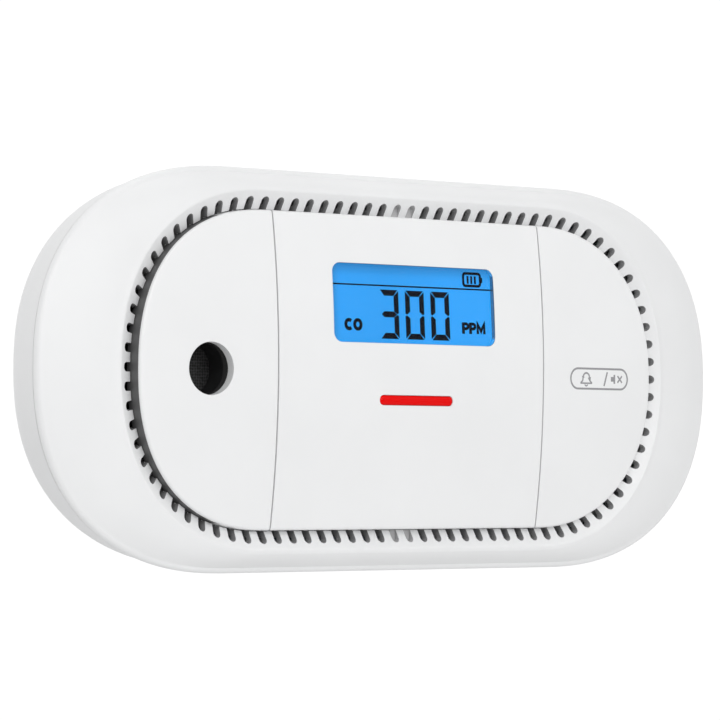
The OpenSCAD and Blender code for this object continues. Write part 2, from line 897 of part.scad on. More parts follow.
module contact_spring() {
  x0 = -bay_x + contact_t + spring_r;
  x1 = -leaf_x - spring_r;
  last = spring_turns * spring_steps;
  color("silver") upright() translate([0, battery_y, battery_z])
    tube([for (i = [0:last])
      let (a = 360 * i / spring_steps, r = between(4.4, 2.6, i / last))
      [between(x0, x1, i / last), r * cos(a), r * sin(a)]], spring_r, [1, 0, 0]);
}

wall_bracket();
rear_housing();
front_shell();
display_panel();
sounder_panel();
test_button();
battery_door();
case_screws();
rating_label();
lcd_lens();
lcd_frame();
lcd_glass();
lcd_backlight();
lcd_connector();
light_bar();
light_shroud();
red_led();
green_led();
amber_led();
main_board();
board_screws();
microcontroller();
amplifier_chip();
driver_chip();
capacitors();
boost_coil();
small_components();
switch_body();
switch_plunger();
sounder_housing();
sounder_cover();
piezo_plate();
piezo_ceramic();
sounder_screen();
sounder_gasket();
sounder_wire_red();
sounder_wire_black();
sensor_can();
sensor_cap();
sensor_pins();
battery();
positive_contact();
negative_contact();
contact_spring();
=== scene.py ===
"""A battery carbon monoxide alarm on its wall bracket.

Lengths are in millimetres in the alarm's own axes: x runs right, up runs up the face,
and out is the distance from the wall. at() turns them into the frame's metres.
"""

import math

import bmesh
import bpy
from mathutils import Matrix, Vector


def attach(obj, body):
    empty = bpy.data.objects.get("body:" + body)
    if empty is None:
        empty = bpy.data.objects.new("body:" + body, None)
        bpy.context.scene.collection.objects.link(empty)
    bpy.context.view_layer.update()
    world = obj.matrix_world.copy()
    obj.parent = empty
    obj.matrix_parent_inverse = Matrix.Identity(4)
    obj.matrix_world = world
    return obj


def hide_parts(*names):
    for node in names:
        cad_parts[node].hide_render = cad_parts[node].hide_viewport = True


MM = 0.001
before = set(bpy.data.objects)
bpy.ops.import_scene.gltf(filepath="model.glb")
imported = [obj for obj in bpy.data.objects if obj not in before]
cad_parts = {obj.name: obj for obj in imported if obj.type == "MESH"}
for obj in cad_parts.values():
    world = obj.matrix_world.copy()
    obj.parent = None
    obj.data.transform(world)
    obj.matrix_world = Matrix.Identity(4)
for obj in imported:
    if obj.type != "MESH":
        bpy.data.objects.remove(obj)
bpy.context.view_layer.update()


def at(x, up, out):
    return Vector((x, -out, up)) * MM


# ---------- The case's dimensions ----------

# Outlines are (half length, half height, end length, squareness).
OUTER = (80.2, 36.75, 41.5, 2.32)
PANELS = (61.3, 29, 28.6, 2.25)
CASE_DEPTH = 25.5
CROWN_R = 187  # the face's radius from top to bottom
BOW_R = 837  # and from end to end
BACK = 3
SEAM = 18
SEAM_X = 31.9
PANEL_GAP = 0.3
PANEL_WALL = 1.8
SLOTS_PER_QUARTER = 23.5
SLOT_W = 1.65
SLOT_LEAD = 1.4  # from the slots' base line to their tips
SLOT_FOOT = 1.8  # and inwards to their other ends
SLOT_REACH = 2.45  # from the panels' edge to the tips
VALLEY = SEAM + 2.5  # foot of the slotted slope
CREST = SEAM + 4.5  # top of the ring round the panels
SLOT_BOTTOM = SEAM - 1.2
BLIND_BOTTOM = VALLEY - 0.15  # a rib passes behind the blind slots
FLANGE_REAR = SEAM - 0.2  # the flange under the panels
FLANGE_FRONT = SEAM + 1.2
PANEL_FOOT = SEAM + 1.25  # rear edge of the panels' skirts
PRESS = 0.5  # the button's travel
BUTTON_FOOT = SEAM + 1.6 + PRESS
THROUGH = 30  # well in front of everything, for the ends of cutters
WINDOW = (38.8, 14.6, 1.8)  # width, height, corner radius
WINDOW_UP = 12.7
BAR = (17.6, 1.9, 0.9)  # the same for the light bar
BAR_UP = -5.1
OUTLET_R = 4.75
OUTLET_X = -46.4
PAST_END = 70  # beyond the panels' ends
END_STEPS = 90  # steps in half of an outline's curved end
SIDE_STEPS = 60  # steps along its straight top


def grown(curve, d):
    return (curve[0] + d, curve[1] + d, curve[2] + d, curve[3])


def between(a, b, f):
    return tuple(p + (q - p) * f for p, q in zip(a, b))


RECESS = grown(PANELS, 0.6 * PANEL_GAP)  # a little tighter round the panels than the CAD's
RIDGE = grown(PANELS, 3.4)
LIP = grown(PANELS, 1.3)  # outside of the lip that carries the flange
FLANGE = grown(PANELS, -4)


def right_end(curve, steps):
    """An outline's right end, from its lowest to its highest point."""
    half_w, half_h, length, power = curve
    points = []
    for i in range(-steps, steps + 1):
        t = math.pi / 2 * i / steps
        c, s = math.cos(t), math.sin(t)
        x = half_w - length + length * max(c, 0) ** (2 / power)
        points.append((x, math.copysign(half_h * abs(s) ** (2 / power), s)))
    return points


def outline(curve):
    """A whole outline, anticlockwise: a curved end, a straight top, and the same again."""
    end = right_end(curve, END_STEPS)
    x, y = end[-1]
    top = [(x - 2 * x * i / SIDE_STEPS, y) for i in range(1, SIDE_STEPS)]
    half = end + top
    return half + [(-x, -y) for x, y in half]


def face(x, up):
    """The panels' domed face: its distance from the wall."""
    spine = BOW_R - CROWN_R + math.sqrt(CROWN_R**2 - up**2)
    return CASE_DEPTH - BOW_R + math.sqrt(spine**2 - x**2)


# ---------- Meshes ----------


def mesh_object(name, points, faces):
    """An object from points (x, up, out) and faces, with its normals turned outwards."""
    mesh = bpy.data.meshes.new(name)
    mesh.from_pydata([at(*p) for p in points], [], faces)
    bm = bmesh.new()
    bm.from_mesh(mesh)
    bmesh.ops.recalc_face_normals(bm, faces=bm.faces)
    bm.to_mesh(mesh)
    bm.free()
    obj = bpy.data.objects.new(name, mesh)
    bpy.context.scene.collection.objects.link(obj)
    return obj


def skin(rings, closed=False):
    """Points and quads that join rings of equal length in turn."""
    n = len(rings[0])
    points = [p for ring in rings for p in ring]
    faces = []
    for i in range(len(rings) if closed else len(rings) - 1):
        a, b = i * n, (i + 1) % len(rings) * n
        faces += [(a + j, b + j, b + (j + 1) % n, a + (j + 1) % n) for j in range(n)]
    return points, faces


def ring_loft(name, rings):
    """A hollow ring whose cross-section is the closed list of rings."""
    return mesh_object(name, *skin(rings, closed=True))


def solid_loft(name, rings):
    """A solid with a flat cap on its first and last rings."""
    points, faces = skin(rings)
    n = len(rings[0])
    faces += [tuple(range(n)), tuple(range(len(points) - n, len(points)))]
    return mesh_object(name, points, faces)


def prism(name, loop, out0, out1):
    return solid_loft(name, [[(*p, out) for p in loop] for out in (out0, out1)])


def circle(x, up, r, sides=64):
    turns = [math.tau * i / sides for i in range(sides)]
    return [(x + r * math.cos(t), up + r * math.sin(t)) for t in turns]


def rod(name, x, up, r, out0, out1, sides=64):
    return prism(name, circle(x, up, r, sides), out0, out1)


def block(name, x0, x1, up0, up1, out0, out1):
    return prism(name, [(x0, up0), (x1, up0), (x1, up1), (x0, up1)], out0, out1)


def rounded(size, centre, margin=0, steps=8):
    """A rounded rectangle, anticlockwise. size is (width, height, corner radius)."""
    w, h, r = (size[0] / 2 + margin, size[1] / 2 + margin, size[2] + margin)
    loop = []
    for quarter, (sx, sy) in enumerate([(1, 1), (-1, 1), (-1, -1), (1, -1)]):
        for i in range(steps + 1):
            t = math.pi / 2 * (quarter + i / steps)
            loop.append((centre[0] + sx * (w - r) + r * math.cos(t),
                         centre[1] + sy * (h - r) + r * math.sin(t)))
    return loop


def join(name, objects):
    """One object from several, which are then removed."""
    bm = bmesh.new()
    for obj in objects:
        bm.from_mesh(obj.data)
        drop(obj)
    mesh = bpy.data.meshes.new(name)
    bm.to_mesh(mesh)
    bm.free()
    joined = bpy.data.objects.new(name, mesh)
    bpy.context.scene.collection.objects.link(joined)
    return joined


def drop(obj):
    mesh = obj.data
    bpy.data.objects.remove(obj)
    bpy.data.meshes.remove(mesh)


def combine(target, operation, tools):
    """Applies a boolean with each tool in turn. The tools are then removed.

    Pieces without materials first get the same three, so that a face keeps its index.
    """
    for obj in (target, *tools):
        if not obj.data.materials:
            for material in (case_white, painted_shade_grey, painted_blind_slot_shade):
                obj.data.materials.append(material)
    for tool in tools:
        modifier = target.modifiers.new("cut", "BOOLEAN")
        modifier.operation = operation
        modifier.solver = "EXACT"
        modifier.object = tool
    graph = bpy.context.evaluated_depsgraph_get()
    result = bpy.data.meshes.new_from_object(target.evaluated_get(graph))
    old = target.data
    target.modifiers.clear()
    target.data = result
    bpy.data.meshes.remove(old)
    for tool in tools:
        drop(tool)
    return target


def smooth(obj, angle=32):
    obj.data.shade_smooth()
    obj.data.set_sharp_from_angle(angle=math.radians(angle))
    return obj


# Indexes of a piece's second material, painted shade for its slots, inside, skirt or window
# edge, and of its third, a lighter painted shade for its blind slots.
SHADED = 1
BLIND = 2


def mark(polygons, index=SHADED):
    for polygon in polygons:
        polygon.material_index = index


def finished(obj, materials, body, slot, *replaced):
    """Paints a piece, rides it on its body and hides the CAD nodes it stands for."""
    kept = [polygon.material_index for polygon in obj.data.polygons]
    obj.data.materials.clear()
    for material in materials:
        obj.data.materials.append(material)
    if len(materials) > 1:
        obj.data.polygons.foreach_set("material_index", kept)
    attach(obj, body)
    if replaced:
        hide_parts(*replaced)
    return obj


# ---------- Materials ----------


class Paint:
    """A Principled material with helpers for its procedural detail."""

    def __init__(self, name, roughness=0.5, **values):
        self.material = bpy.data.materials.new(name)
        self.material.use_nodes = True
        self.nodes = self.material.node_tree.nodes
        self.links = self.material.node_tree.links
        self.shader = self.nodes["Principled BSDF"]
        self.shader.inputs["Roughness"].default_value = roughness
        for socket, value in values.items():
            self.shader.inputs[socket.replace("_", " ")].default_value = value
        self.place = self.nodes.new("ShaderNodeTexCoord").outputs["Object"]

    def noise(self, size, detail=3, stretch=(1, 1, 1)):
        """A noise whose features are about size millimetres across."""
        mapping = self.nodes.new("ShaderNodeMapping")
        mapping.inputs["Scale"].default_value = stretch
        self.links.new(self.place, mapping.inputs["Vector"])
        noise = self.nodes.new("ShaderNodeTexNoise")
        noise.inputs["Scale"].default_value = 1 / (size * MM)
        noise.inputs["Detail"].default_value = detail
        self.links.new(mapping.outputs["Vector"], noise.inputs["Vector"])
        return noise.outputs["Fac"]

    def ramp(self, source, low, high, socket="Base Color", start=0.3, end=0.7):
        ramp = self.nodes.new("ShaderNodeValToRGB")
        ramp.color_ramp.elements[0].position = start
        ramp.color_ramp.elements[1].position = end
        ramp.color_ramp.elements[0].color = (*low, 1)
        ramp.color_ramp.elements[1].color = (*high, 1)
        self.links.new(source, ramp.inputs["Fac"])
        self.links.new(ramp.outputs["Color"], self.shader.inputs[socket])
        return self

    def rough(self, source, low, high):
        spread = self.nodes.new("ShaderNodeMapRange")
        spread.inputs["To Min"].default_value = low
        spread.inputs["To Max"].default_value = high
        self.links.new(source, spread.inputs["Value"])
        self.links.new(spread.outputs["Result"], self.shader.inputs["Roughness"])
        return self

    def bump(self, source, depth, edge=0):
        """Bumps of depth millimetres, on edges softened to a radius of edge millimetres."""
        bump = self.nodes.new("ShaderNodeBump")
        bump.inputs["Strength"].default_value = 1
        bump.inputs["Distance"].default_value = depth * MM
        self.links.new(source, bump.inputs["Height"])
        if edge:
            bevel = self.nodes.new("ShaderNodeBevel")
            bevel.samples = 4
            bevel.inputs["Radius"].default_value = edge * MM
            self.links.new(bevel.outputs["Normal"], bump.inputs["Normal"])
        self.links.new(bump.outputs["Normal"], self.shader.inputs["Normal"])
        return self


def shade(colour, factor):
    return tuple(c * factor for c in colour)


def moulded(name, colour, roughness=0.4, grain=0.35, depth=0.004, edge=0, **values):
    """Moulded plastic: a fine spark-eroded grain, and a faint unevenness in its colour."""
    paint = Paint(name, roughness, **values)
    paint.ramp(paint.noise(18), shade(colour, 0.975), colour)
    paint.rough(paint.noise(grain * 4), roughness - 0.05, roughness + 0.07)
    return paint.bump(paint.noise(grain), depth, edge).material


def metal(name, colour, roughness=0.3, stretch=(1, 1, 1)):
    """Metal with fine marks, drawn out along the axis that stretch squeezes."""
    paint = Paint(name, roughness, Metallic=1)
    paint.ramp(paint.noise(2.5), shade(colour, 0.82), colour)
    paint.rough(paint.noise(0.5, 5, stretch), roughness - 0.08, roughness + 0.15)
    return paint.bump(paint.noise(0.2, 4, stretch), 0.004).material


def glowing(name, body, low, high, size, **values):
    """A lit surface: a dark body, and a glow that drifts between two shades."""
    paint = Paint(name, **values)
    source = paint.noise(size, 1)
    paint.ramp(source, shade(body, 0.8), body)
    paint.ramp(source, low, high, "Emission Color")
    paint.shader.inputs["Emission Strength"].default_value = 1
    return paint.material


def shade_edge(material, *edges):
    """Paints shade into a glow towards edges, each (axis, edge, where the glow is full, level).
    """
    tree = material.node_tree
    place = tree.nodes.new("ShaderNodeTexCoord")
    axes = tree.nodes.new("ShaderNodeSeparateXYZ")
    product = tree.nodes.new("ShaderNodeMath")
    product.operation = "MULTIPLY"
    tree.links.new(place.outputs["Object"], axes.inputs[0])
    for target, (axis, edge, inner, level) in zip(product.inputs, edges):
        fade = tree.nodes.new("ShaderNodeMapRange")
        fade.interpolation_type = "SMOOTHSTEP"
        fade.inputs["From Min"].default_value = edge * MM
        fade.inputs["From Max"].default_value = inner * MM
        fade.inputs["To Min"].default_value = level
        tree.links.new(axes.outputs[axis], fade.inputs["Value"])
        tree.links.new(fade.outputs["Result"], target)
    shader = next(node for node in tree.nodes if node.type == "BSDF_PRINCIPLED")
    tree.links.new(product.outputs[0], shader.inputs["Emission Strength"])


WHITE = (0.83, 0.835, 0.84)
case_white = moulded("case_white", WHITE, 0.36, edge=0.12)
panel_white = moulded("panel_white", shade(WHITE, 1.02), 0.33, edge=0.12)
# Painted shade: a dark grey for the slots' walls and the shell's inside, where white plastic
# lies in shade.
painted_shade_grey = moulded("painted_shade_grey", (0.33, 0.33, 0.335), 0.6)
# Painted shade: a lighter grey for the walls of the shallow blind slots.
painted_blind_slot_shade = moulded("painted_blind_slot_shade", (0.5, 0.5, 0.505), 0.6)
# Painted shade: a near-black grey for the panels' left-facing skirts and the window's edge.
panel_painted_shade = moulded("panel_painted_shade", (0.13, 0.13, 0.132), 0.6)
housing_white = moulded("housing_white", shade(WHITE, 0.97), 0.42, edge=0.12)
bracket_grey = moulded("bracket_plastic", (0.62, 0.63, 0.64), 0.5, depth=0.008)
black_plastic = moulded("black_plastic", (0.012, 0.012, 0.013), 0.5)
chip_black = moulded("chip_black", (0.02, 0.02, 0.022), 0.45, grain=0.15)
rubber = moulded("gasket_foam", (0.03, 0.03, 0.03), 0.85, grain=0.5, depth=0.05)
lcd_ink = moulded("lcd_segments", (0.001, 0.002, 0.008), 0.6, depth=0.001,
                  Specular_IOR_Level=0.1)
steel = metal("zinc_steel", (0.62, 0.63, 0.64))
nickel = metal("nickel", (0.7, 0.68, 0.62), 0.22, (1, 0.1, 1))
brass = metal("brass", (0.78, 0.56, 0.24), 0.28)
gold = metal("gold", (0.9, 0.68, 0.3), 0.2)
silvered = metal("silvered_ceramic", (0.75, 0.74, 0.7), 0.45)
inner_white = moulded("inner_white", shade(WHITE, 0.95), 0.5)
ivory = moulded("ivory_plastic", (0.78, 0.74, 0.62), 0.45)
ink_grey = moulded("printed_grey", (0.3, 0.3, 0.31), 0.6, depth=0.001)
sleeve_blue = moulded("capacitor_sleeve", (0.03, 0.05, 0.11), 0.3, grain=1.2)
sleeve_battery = moulded("battery_sleeve", (0.06, 0.17, 0.33), 0.28, grain=2)
ferrite = moulded("ferrite", (0.045, 0.047, 0.052), 0.7, grain=0.2, depth=0.01)
component = moulded("ceramic_chips", (0.48, 0.38, 0.26), 0.5, grain=0.5)
wire_red = moulded("wire_red", (0.5, 0.02, 0.02), 0.45, grain=1)
wire_black = moulded("wire_black", (0.012, 0.012, 0.014), 0.45, grain=1)
red_lens = moulded("red_diffuser", (0.8, 0, 0), 0.12, grain=2, depth=0.001,
                   Specular_IOR_Level=0.12)
led_red = moulded("led_red", (0.6, 0.05, 0.04), 0.2, grain=1)
led_green = moulded("led_green", (0.05, 0.5, 0.09), 0.2, grain=1)
led_amber = moulded("led_amber", (0.8, 0.32, 0.02), 0.2, grain=1)
clear_lens = moulded("clear_lens", (0.97, 0.985, 1), 0.06, grain=3, depth=0.0005,
                     Transmission_Weight=1, IOR=1.18)
lcd_blue = glowing("lcd_blue", (0.01, 0.05, 0.13), (0.013, 0.31, 0.80), (0.016, 0.34, 0.88),
                   30, roughness=0.4, Specular_IOR_Level=0.2)
# Painted shade: the glow dims towards the display's left edge and its top, as if the window's
# rim shaded them.
shade_edge(lcd_blue, ("X", -20.2, -16.8, 0.45), ("Z", 20.6, 17.2, 0.55))
backlight_blue = glowing("backlight_blue", (0.1, 0.3, 0.6), (0.02, 0.2, 0.5), (0.03, 0.25, 0.6),
                         9, roughness=0.4)


def solder_mask():
    """Green solder mask over copper tracks, drawn by a brick pattern."""
    paint = Paint("solder_mask", 0.32)
    tracks = paint.nodes.new("ShaderNodeTexBrick")
    tracks.inputs["Scale"].default_value = 130
    tracks.inputs["Mortar Size"].default_value = 0.04
    tracks.inputs["Color1"].default_value = (0.012, 0.13, 0.045, 1)
    tracks.inputs["Color2"].default_value = (0.014, 0.15, 0.05, 1)
    tracks.inputs["Mortar"].default_value = (0.03, 0.26, 0.09, 1)
    turn = paint.nodes.new("ShaderNodeMapping")
    turn.inputs["Rotation"].default_value = (math.pi / 2, 0, 0)
    paint.links.new(paint.place, turn.inputs["Vector"])
    paint.links.new(turn.outputs["Vector"], tracks.inputs["Vector"])
    paint.links.new(tracks.outputs["Color"], paint.shader.inputs["Base Color"])
    return paint.bump(tracks.outputs["Fac"], 0.03).material


def printed_paper():
    """Satin label stock with faint fibres."""
    paint = Paint("label_stock", 0.5)
    paint.ramp(paint.noise(0.6, 6), (0.8, 0.8, 0.79), (0.86, 0.86, 0.85))
    return paint.bump(paint.noise(0.3, 5), 0.006).material


def woven_screen():
    """Fine black mesh over the sounder."""
    paint = Paint("woven_screen", 0.45)
    cells = paint.nodes.new("ShaderNodeTexVoronoi")
    cells.inputs["Scale"].default_value = 1900
    cells.inputs["Randomness"].default_value = 0.25
    paint.links.new(paint.place, cells.inputs["Vector"])
    paint.ramp(cells.outputs["Distance"], (0.001, 0.001, 0.001), (0.06, 0.06, 0.062),
               start=0.35, end=0.75)
    return paint.bump(cells.outputs["Distance"], 0.08).material


board_green = solder_mask()
label_paper = printed_paper()
floor_white = moulded("floor_paper", (0.8, 0.8, 0.8), 0.7, grain=3)
screen_black = woven_screen()


# ---------- Case ----------


def ring(curve, out):
    return [(x, up, out) for x, up in outline(curve)]


def flowing(controls, steps):
    """Rings along a smooth curve through controls, which are (outline, out) pairs."""
    rows = [(*curve, out) for curve, out in controls]
    made = []
    for i in range(len(rows) - 1):
        a = rows[max(i - 1, 0)]
        b, c = rows[i], rows[i + 1]
        d = rows[min(i + 2, len(rows) - 1)]
        for k in range(steps):
            f = k / steps
            made.append(tuple(
                0.5 * (2 * q + (r - p) * f + (2 * p - 5 * q + 4 * r - s) * f * f
                       + (3 * q - p - 3 * r + s) * f**3)
                for p, q, r, s in zip(a, b, c, d)))
    made.append(rows[-1])
    return [ring(row[:4], row[4]) for row in made]


def bevel_control(f):
    """A point on the slightly domed bevel between the ridge and the case's corner."""
    curve = between(grown(OUTER, -1), grown(RIDGE, 0.9), f)
    low, high = SEAM + 1.4, CREST - 0.15
    return curve, low + (high - low) * f + 0.35 * math.sin(math.pi * f)


def slot_line():
    """A quarter of the slots' base line, from the top of the face to its right end."""
    steps = 240
    end = right_end(grown(PANELS, SLOT_REACH - SLOT_LEAD), steps)
    return [(0, end[-1][1])] + end[:steps - 1:-1]


def on_line(line, lengths, s):
    """The point at distance s along a line of points, and the direction out from it."""
    i = max(k for k in range(len(line) - 1) if k == 0 or lengths[k] <= s)
    f = (s - lengths[i]) / (lengths[i + 1] - lengths[i])
    a, b = Vector(line[i]), Vector(line[i + 1])
    along = (b - a).normalized()
    return a + (b - a) * f, Vector((-along.y, along.x))


SLOT_STEPS = 12  # steps round a slot's rounded end


def slot_cutters():
    """Prisms for the slots: one set that goes through, and a short blind set."""
    line = slot_line()
    lengths = [0]
    for a, b in zip(line, line[1:]):
        lengths.append(lengths[-1] + (Vector(b) - Vector(a)).length)
    pitch = lengths[-1] / SLOTS_PER_QUARTER
    r = SLOT_W / 2
    through, blind = [], []
    for i in range(math.ceil(SLOTS_PER_QUARTER)):
        middle, out = on_line(line, lengths, (i + 0.5) * pitch)
        foot, tip = middle - out * SLOT_FOOT, middle + out * (SLOT_LEAD - r)
        start = math.atan2(out.y, out.x)
        loop = []
        for k in range(2 * SLOT_STEPS + 1):
            centre = tip if k <= SLOT_STEPS else foot
            t = start - math.pi / 2 + math.pi * (k if k <= SLOT_STEPS else k - 1) / SLOT_STEPS
            loop.append((centre.x + r * math.cos(t), centre.y + r * math.sin(t)))
        low = BLIND_BOTTOM if i == 0 else SLOT_BOTTOM
        for sx, sy in [(1, 1), (-1, 1), (-1, -1), (1, -1)]:
            # The last slot lies on the axis, so only one copy of each pair is made.
            if i + 1 > SLOTS_PER_QUARTER and sy < 0:
                continue
            mirrored = [(sx * x, sy * y) for x, y in loop]
            slots = blind if i == 0 else through
            slots.append(prism("slot", mirrored, low, CASE_DEPTH))
    cutters = [join("slots", through), join("blind_slots", blind)]
    # The slots' walls get painted shade, lighter in the blind slots.
    for cutter, index in zip(cutters, (SHADED, BLIND)):
        mark(cutter.data.polygons, index)
    return cutters


def make_front_shell():
    outside = (
        [ring(OUTER, SEAM), ring(OUTER, SEAM + 0.35)]
        + flowing([(OUTER, SEAM + 0.35), (grown(OUTER, -0.15), SEAM + 0.85),
                   (grown(OUTER, -0.5), SEAM + 1.2), bevel_control(0)], 4)[1:-1]
        + flowing([bevel_control(i / 8) for i in range(9)], 2)
        + flowing([bevel_control(1), (grown(RIDGE, 0.35), CREST), (grown(RIDGE, 0.1), CREST),
                   (grown(RIDGE, -0.1), CREST - 0.08)], 3)[1:]
        + [ring(between(grown(RIDGE, -0.1), RECESS, f),
                CREST - 0.08 + (VALLEY - CREST + 0.08) * f) for f in (0.25, 0.5, 0.75, 1)]
    )
    inside = [ring(RECESS, FLANGE_FRONT), ring(FLANGE, FLANGE_FRONT), ring(FLANGE, FLANGE_REAR),
              ring(LIP, FLANGE_REAR), ring(LIP, VALLEY - 0.8), ring(RIDGE, CREST - 1.7),
              ring(grown(OUTER, -2.4), SEAM + 0.15), ring(grown(OUTER, -1.9), SEAM)]
    shell = ring_loft("front_shell_moulding", outside + inside)
    around = len(outside[0])
    # From the flange's rear face on, the loft is the shell's inside, which gets painted shade.
    mark(shell.data.polygons[around * (len(outside) + 2):])
    rib_half_w = 2.4
    ribs = [block("rib", -rib_half_w, rib_half_w, side * (RECESS[1] + 0.5),
                  side * (LIP[1] + 1.5), SEAM + 1, BLIND_BOTTOM) for side in (-1, 1)]
    combine(shell, "UNION", ribs)
    combine(shell, "DIFFERENCE", slot_cutters())
    return finished(smooth(shell), [case_white, painted_shade_grey, painted_blind_slot_shade], "alarm",
                    "case_white", "front_shell")


HOOKS = [(x, up) for x in (-40, 40) for up in (-14, 14)]
CASE_SCREWS = [(x, up) for x in (-67, 67) for up in (-8.5, 8.5)]
HINGE_UP = -5.4
LUG_X = 16.85  # the lugs that hold the door's hinge pins
HINGE_WAY_X = 15.25  # half width of the opening between them
DOOR_WAY_X = 20.75  # half width of the opening for the door
DOOR_WAY_LOW = -26.05
DOOR_WAY_TOP = -7.95
BAY_X = 21.05  # the walls at the battery's ends
HOUSING_WALL = 1.8
BACK_CUT = 6  # front end of the cutters that open the back's wall
POST_REAR = 6.2


def make_rear_housing():
    r, side, lean = 9.6, SEAM - 5, 1  # back edge's radius, its start and the side's lean
    inner_r = r - HOUSING_WALL
    turns = [math.radians(t) for t in range(90, -1, -5)]
    outside = [ring(grown(OUTER, -lean - r), BACK)]
    outside += [ring(grown(OUTER, -lean - r * (1 - math.cos(t))), side - r * math.sin(t))
                for t in turns]
    lip = [ring(grown(OUTER, -0.1), SEAM - 0.4), ring(grown(OUTER, -0.45), SEAM - 0.05),
           ring(grown(OUTER, -HOUSING_WALL), SEAM - 0.05)]
    inside = [ring(grown(OUTER, -lean - HOUSING_WALL - inner_r * (1 - math.cos(t))),
                   side - inner_r * math.sin(t)) for t in turns[::-3]]
    housing = solid_loft("rear_housing_moulding", outside + lip + inside)
    holes = [
        block("door_way", -DOOR_WAY_X, DOOR_WAY_X, DOOR_WAY_LOW, DOOR_WAY_TOP, 0, BACK_CUT),
        block("hinge_way", -HINGE_WAY_X, HINGE_WAY_X, -12, HINGE_UP + 1.75, 0, BACK_CUT),
    ]
    # A keyhole: a slot for the hook's neck, and at its lower end a hole for the head.
    for x, up in HOOKS:
        holes.append(block("key_slot", x - 1.8, x + 1.8, up - 8, up + 1.55, 0, BACK_CUT))
        holes.append(block("key_hole", x - 4.2, x + 4.2, up - 10.6, up - 5.4, 0, BACK_CUT))
    holes += [rod("counterbore", x, up, 3.1, 0, POST_REAR) for x, up in CASE_SCREWS]
    combine(housing, "DIFFERENCE", holes)
    lugs = [block("lug", x - 1.6, x + 1.6, HINGE_UP - 1.9, HINGE_UP + 1.9, 3.4, 6.4)
            for x in (-LUG_X, LUG_X)]
    bay = [block("bay", x - 0.6, x + 0.6, -25.7, -8.7, 4.6, 12) for x in (-BAY_X, BAY_X)]
    posts = [rod("post", x, up, 4.3, POST_REAR, 7.4) for x, up in CASE_SCREWS]
    housing = join("rear_housing_moulding", [housing] + lugs + bay + posts)
    return finished(smooth(housing), [housing_white], "alarm", "housing_white", "rear_housing")


# ---------- Panels ----------


def cap_rings(depth, rim):
    """Rings at a depth in the cap, from its foot over a rounded rim to the face's middle."""
    rim_steps, face_steps = 6, 19
    edge = grown(PANELS, -depth)
    rings = [[(x, up, PANEL_FOOT) for x, up in outline(edge)]]
    for i in range(rim_steps + 1):
        t = math.pi / 2 * i / rim_steps
        inset, fall = rim * (1 - math.cos(t)), rim * (1 - math.sin(t))
        loop = outline(grown(edge, -inset))
        rings.append([(x, up, face(x, up) - depth - fall) for x, up in loop])
    last = edge[1] - rim
    for i in range(1, face_steps):
        curve = grown(edge, -rim - last * i / face_steps)
        rings.append([(x, up, face(x, up) - depth) for x, up in outline(curve)])
    return rings


def domed_cap(name):
    """The three panels as one hollow piece, before the gaps between them are cut."""
    outer_rings = cap_rings(0, 0.55)
    inner_rings = cap_rings(PANEL_WALL, 0.3)
    rings = outer_rings[::-1] + inner_rings
    points, faces = skin(rings)
    n = len(rings[0])
    for start in (0, len(points) - n):
        faces += crossing(start, n)
    cap = mesh_object(name, points, faces)
    first = (len(outer_rings) - 2) * n
    skirt = cap.data.polygons[first:first + n]
    # Only the part of the skirt that looks left gets painted shade.
    mark(polygon for polygon in skirt if polygon.normal.x < -0.3)
    return cap


def crossing(start, n):
    """Quads that close a ring by joining each point to its mirror image below it."""
    steps, side = END_STEPS, SIDE_STEPS
    right = list(range(0, 2 * steps + 1))
    top = list(range(2 * steps, 2 * steps + side + 1))
    left = [(2 * steps + side + k) % n for k in range(2 * steps + 1)]
    bottom = [(4 * steps + side + k) % n for k in range(side + 1)]
    faces = []
    for k in range(steps):
        low, high = right[k], right[2 * steps - k]
        low2, high2 = right[k + 1], right[2 * steps - k - 1]
        faces.append((low, low2, high2, high) if low2 != high2 else (low, low2, high))
        low, high = left[2 * steps - k], left[k]
        low2, high2 = left[2 * steps - k - 1], left[k + 1]
        faces.append((low, low2, high2, high) if low2 != high2 else (low, low2, high))
    for k in range(side):
        faces.append((top[k], top[k + 1], bottom[side - k - 1], bottom[side - k]))
    return [tuple(start + i for i in f) for f in faces]


def panel(name, x0, x1, foot=PANEL_FOOT):
    """The stretch of the domed cap between x0 and x1."""
    keep = block("keep", x0, x1, -40, 40, foot, CASE_DEPTH + 2)
    return combine(domed_cap(name), "INTERSECT", [keep])


def make_display_panel():
    half = SEAM_X - PANEL_GAP / 2
    made = panel("display_panel_moulding", -half, half)
    holes = [prism("window", rounded(WINDOW, (0, WINDOW_UP)), SEAM, THROUGH),
             prism("bar", rounded(BAR, (0, BAR_UP)), SEAM, THROUGH)]
    # The window's walls get painted shade.
    mark(holes[0].data.polygons)
    combine(made, "DIFFERENCE", holes)
    return finished(smooth(made), [panel_white, panel_painted_shade], "alarm", "case_white",
                    "display_panel")


def make_sounder_panel():
    made = panel("sounder_panel_moulding", -PAST_END, -SEAM_X - PANEL_GAP / 2)
    outlet = rod("outlet", OUTLET_X, 0, OUTLET_R, SEAM, THROUGH, 96)
    combine(made, "DIFFERENCE", [outlet])
    return finished(smooth(made), [panel_white, panel_painted_shade], "alarm", "case_white",
                    "sounder_panel")


def make_test_button():
    made = panel("test_button_moulding", SEAM_X + PANEL_GAP / 2, PAST_END, BUTTON_FOOT)
    return finished(smooth(made), [panel_white, panel_painted_shade], "button", "case_white",
                    "test_button")


# ---------- Display ----------

WINDOW_TILT = math.asin(WINDOW_UP / CROWN_R)
GLASS_DEPTH = 1.4  # below the face at the window's middle
INK = 0.05  # half the thickness of the display's marks
BUTTON_INK = 0.012  # and of the button's
DIGIT = (4.5, 9.1, 1.1)  # width, height, stroke
DIGIT_PITCH = 6.13


